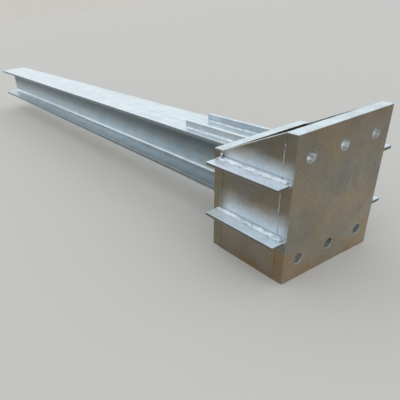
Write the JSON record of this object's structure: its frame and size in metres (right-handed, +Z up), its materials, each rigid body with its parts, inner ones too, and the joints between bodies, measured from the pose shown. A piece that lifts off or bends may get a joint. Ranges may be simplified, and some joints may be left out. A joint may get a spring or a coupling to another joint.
{
  "type": "railway catenary mast",
  "caption": "Galvanised steel railway catenary mast: a wide-flange column rising through a welded, ribbed boot from a thick base plate that bolts to a foundation.",
  "frame": {"origin": "centre of the base plate's lower face, on the column's axis", "axes": "+Z up the column, +X along its flanges, -Y towards the boot's low, sloping front"},
  "size_m": [0.61, 0.58, 4],
  "materials": {
    "galvanised_section": "hot-dip galvanised",
    "galvanised_plate": "hot-dip galvanised, dull and mottled",
    "galvanised_rib": "hot-dip galvanised",
    "galvanised_weld": "hot-dip galvanised weld bead"
  },
  "bodies": {
    "root": {"base_plate": "galvanised_plate", "collar_plate": "galvanised_plate", "column": "galvanised_section", "column_collar_weld_back": "galvanised_weld", "column_collar_weld_front": "galvanised_weld", "column_foot_weld_back": "galvanised_weld", "column_foot_weld_front": "galvanised_weld", "flange_rib_back_left": "galvanised_rib", "flange_rib_back_right": "galvanised_rib", "flange_rib_front_left": "galvanised_rib", "flange_rib_front_right": "galvanised_rib", "flange_rib_weld_back_left": "galvanised_weld", "flange_rib_weld_back_right": "galvanised_weld", "flange_rib_weld_front_left": "galvanised_weld", "flange_rib_weld_front_right": "galvanised_weld", "side_plate_left": "galvanised_plate", "side_plate_right": "galvanised_plate", "side_plate_weld_left": "galvanised_weld", "side_plate_weld_right": "galvanised_weld", "side_rib_left_back": "galvanised_rib", "side_rib_left_front": "galvanised_rib", "side_rib_right_back": "galvanised_rib", "side_rib_right_front": "galvanised_rib", "side_rib_weld_left_back": "galvanised_weld", "side_rib_weld_left_front": "galvanised_weld", "side_rib_weld_right_back": "galvanised_weld", "side_rib_weld_right_front": "galvanised_weld"}
  },
  "joints": []
}
